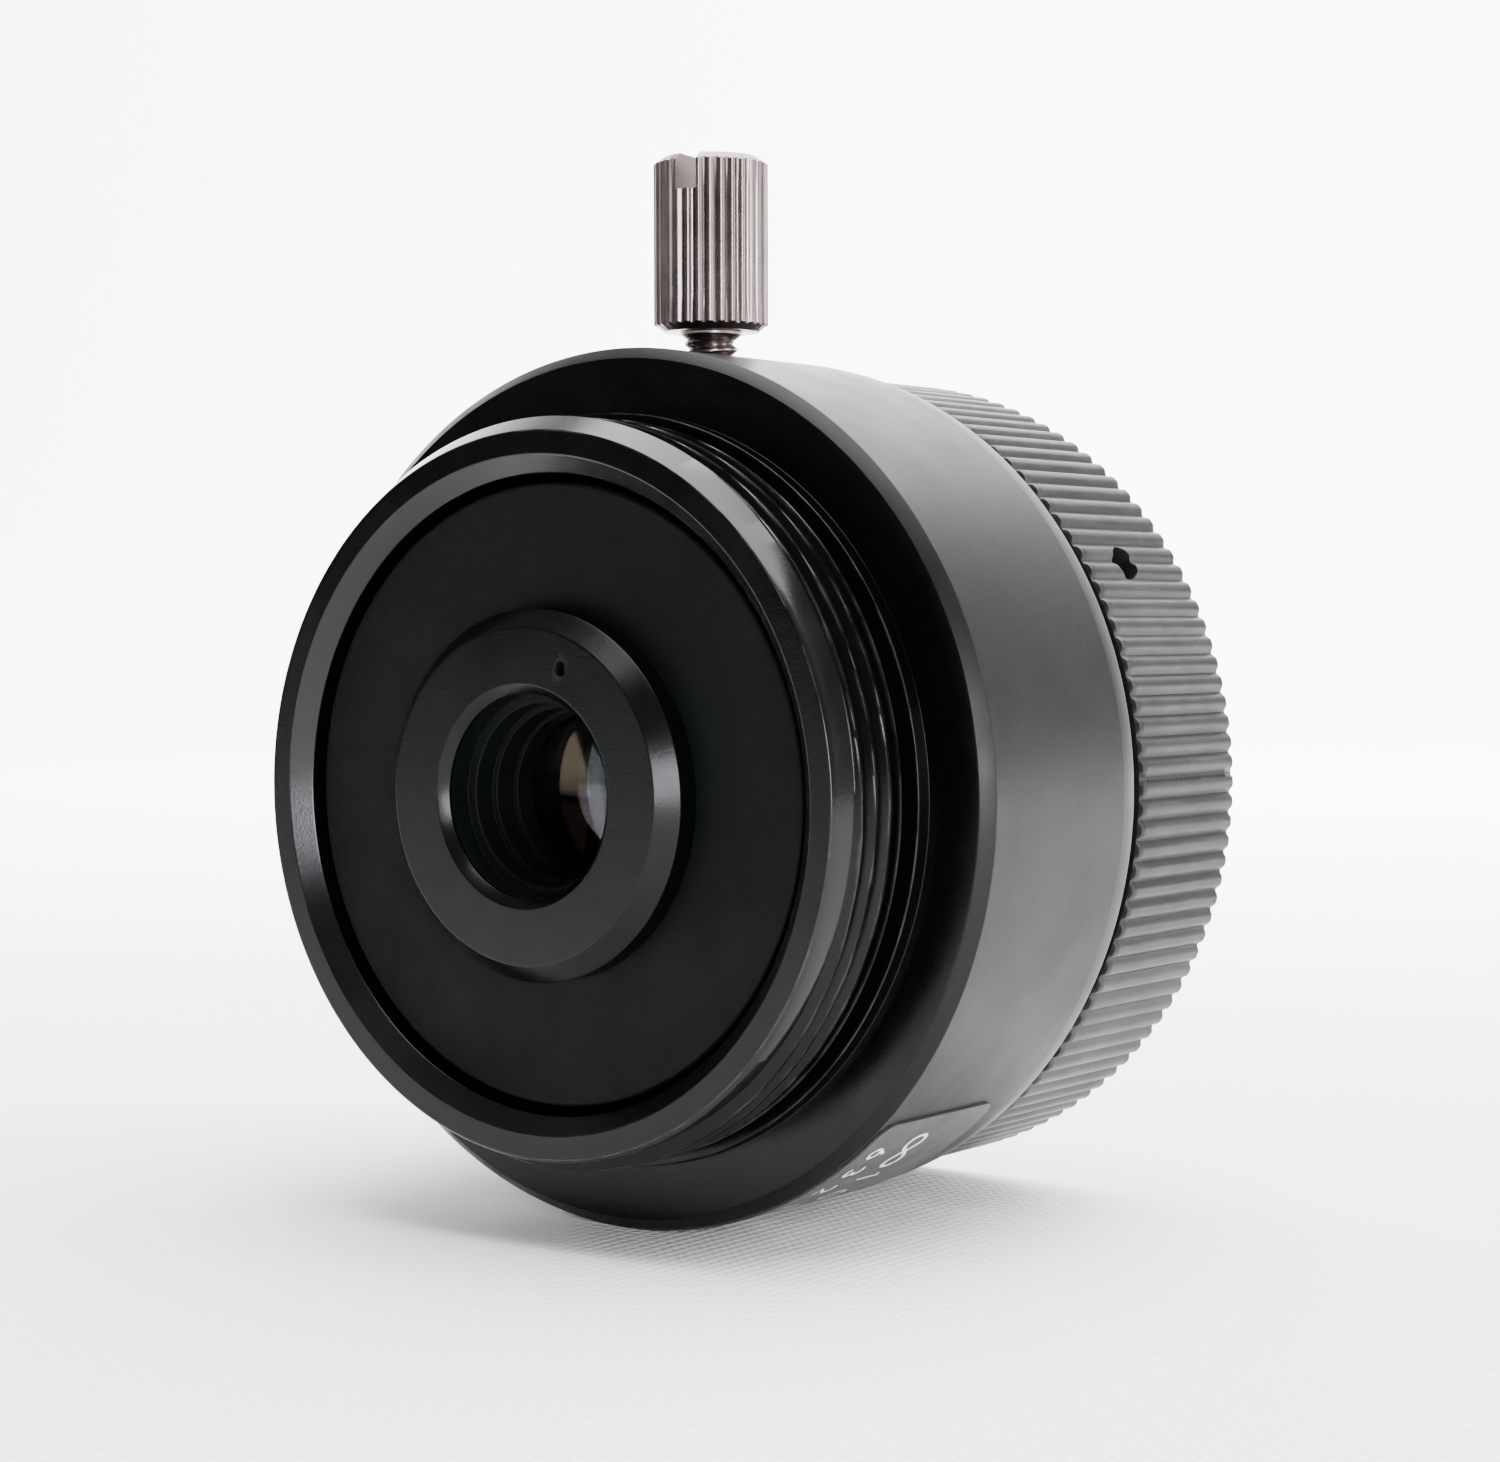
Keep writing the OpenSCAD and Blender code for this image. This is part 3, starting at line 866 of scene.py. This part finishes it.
def make_lock_screw():
    """Knurled head with chamfered ends and a driver slot, on a fine threaded shank."""
    low, top = SCREW_LOW.z, SCREW_HIGH.z
    neck = HEAD_Z - NECK_LEN
    steps = 96
    shank = [(SHANK_R, low + 0.2 + (neck - low - 0.2) * i / steps) for i in range(steps + 1)]
    head = [(HEAD_R, HEAD_Z + 0.25 + (top - HEAD_Z - 0.5) * i / 6) for i in range(7)]
    outline = rounded(
        [(0, low), (0.75, low)] + shank
        + [(SHANK_R - 0.1, neck + 0.06), (NECK_R, HEAD_Z - 0.1, 0.03), (NECK_R, HEAD_Z, 0.02),
           (HEAD_END_R, HEAD_Z, 0.05), (HEAD_EDGE_R, HEAD_Z + 0.2)] + head
        + [(HEAD_EDGE_R, top - 0.2), (HEAD_END_R, top, 0.05), (0, top)])
    screw = lathe("lock_screw_body", outline, HEAD_TEETH * 12, head_radius, upright_at=LOCK_Y)
    slot_len, slot_width, slot_depth = DRIVER_SLOT
    slot_place = (0, LOCK_Y, top + 1 - slot_depth)
    carve(screw, [box_cutter(slot_place, (slot_len, slot_width, 2), DRIVER_SLOT_TURN)])
    dress(screw, NICKEL, "lock", "nickel", "lock_screw")
    r = PAD_HIGH.x
    pad = lathe("lock_pad_body", rounded([(0, PAD_LOW.z), (r, PAD_LOW.z, 0.1), (r, PAD_HIGH.z, 0.1),
                                          (0, PAD_HIGH.z)]), 96, upright_at=LOCK_Y)
    dress(pad, NYLON, "lock_tip", "nylon", "lock_pad")


# ---------------------------------------------------------------- floor, lights, camera

def make_floor():
    """A wide pale floor under the barrel, curving up far behind it."""
    bm = bmesh.new()
    front, depth, width, radius, height = -900, 420, 1300, 260, 900
    z = cad_box[0][2] / MM
    curve = [math.pi / 2 * i / 16 for i in range(17)]
    path = [(front, z)]
    path += [(depth + radius * math.sin(a), z + radius * (1 - math.cos(a))) for a in curve]
    path.append((depth + radius, z + height))
    turn = Matrix.Rotation(CAMERA_TURN, 3, "Z")
    rows = [[bm.verts.new(turn @ Vector((x, y, h))) for x in (-width, width)] for y, h in path]
    for a, b in zip(rows, rows[1:]):
        bm.faces.new((a[0], a[1], b[1], b[0]))
    floor = finish_mesh(bm, "floor", 60)
    floor.data.materials.append(woven_white())


def area_light(name, place, target, size, power, colour=(1, 1, 1)):
    """A rectangular lamp aimed at target, its places and size in mm and its power in W."""
    data = bpy.data.lights.new(name, "AREA")
    data.shape = "RECTANGLE"
    data.size, data.size_y = size[0] * MM, size[1] * MM
    data.energy = power
    data.color = colour
    lamp = bpy.data.objects.new(name, data)
    lamp.location = Vector(place) * MM
    aim = Vector(target) - Vector(place)
    lamp.rotation_euler = aim.to_track_quat("-Z", "Y").to_euler()
    bpy.context.scene.collection.objects.link(lamp)


CAMERA_TURN = math.radians(36.7)
CAMERA_LIFT = math.radians(2.04)
CAMERA_ROLL = math.radians(-0.12)
CAMERA_DISTANCE = 103.04
CAMERA_SIDE = 7.27
CAMERA_RISE = 2.17
CAMERA_LENS = 74.0


def make_camera():
    """The camera stands to the right of the nose, almost level with the optical axis."""
    back = Vector((math.sin(CAMERA_TURN) * math.cos(CAMERA_LIFT),
                   -math.cos(CAMERA_TURN) * math.cos(CAMERA_LIFT), math.sin(CAMERA_LIFT)))
    right = Vector((math.cos(CAMERA_TURN), math.sin(CAMERA_TURN), 0))
    up = back.cross(right)
    roll = Matrix.Rotation(CAMERA_ROLL, 3, back)
    right, up = roll @ right, roll @ up
    nose = Vector((0, NOSE_END, 0))
    place = nose + back * CAMERA_DISTANCE + right * CAMERA_SIDE + up * CAMERA_RISE
    data = bpy.data.cameras.new("camera")
    data.lens = CAMERA_LENS
    data.sensor_width = 36
    data.clip_start = 0.005
    data.clip_end = 20
    camera = bpy.data.objects.new("camera", data)
    turn = Matrix((right, up, back)).transposed().to_4x4()
    camera.matrix_world = Matrix.Translation(place * MM) @ turn
    bpy.context.scene.collection.objects.link(camera)
    bpy.context.scene.camera = camera


def make_world():
    """A pale room, darker towards the front left, which the nose, flange and rear glass reflect:
    nearly black below the horizon there and grey above it."""
    world = bpy.data.worlds.new("studio")
    world.use_nodes = True
    tree = world.node_tree
    sky = tree.nodes["Background"]
    sky.inputs["Color"].default_value = (1, 1, 1, 1)
    direction = tree.nodes.new("ShaderNodeTexCoord").outputs["Generated"]
    towards = tree.nodes.new("ShaderNodeVectorMath")
    towards.operation = "DOT_PRODUCT"
    towards.inputs[1].default_value = (-0.5, -0.87, 0)
    tree.links.new(direction, towards.inputs[0])
    height = tree.nodes.new("ShaderNodeSeparateXYZ")
    tree.links.new(direction, height.inputs[0])
    front_left = map_range(tree, height.outputs["Z"], 0.0, 0.05, 0.015, 0.22)
    strength = map_range(tree, towards.outputs["Value"], 0.2, 0.75, 0.45, front_left)
    tree.links.new(strength, sky.inputs["Strength"])
    bpy.context.scene.world = world


make_camera()
make_world()
make_floor()
area_light("overhead", (60, 110, 420), (10, 50, 0), (560, 500), 12)
area_light("window", (420, 190, 150), (0, 20, 0), (220, 300), 2)
area_light("side_window", (320, -240, 40), (0, 0, 0), (110, 150), 2.2, (0.93, 0.95, 1.0))
area_light("backdrop_light", (0, 260, 330), (-200, 620, 60), (700, 200), 25)

make_barrel()
make_label()
make_ring()
make_cell()
make_collar()
make_front_rings()
make_optics()
make_lock_screw()

# The set screws keep their CAD shape and get a better material.
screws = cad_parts["focus_set_screws"]
screws.data.materials.clear()
screws.data.materials.append(BLACK_STEEL)
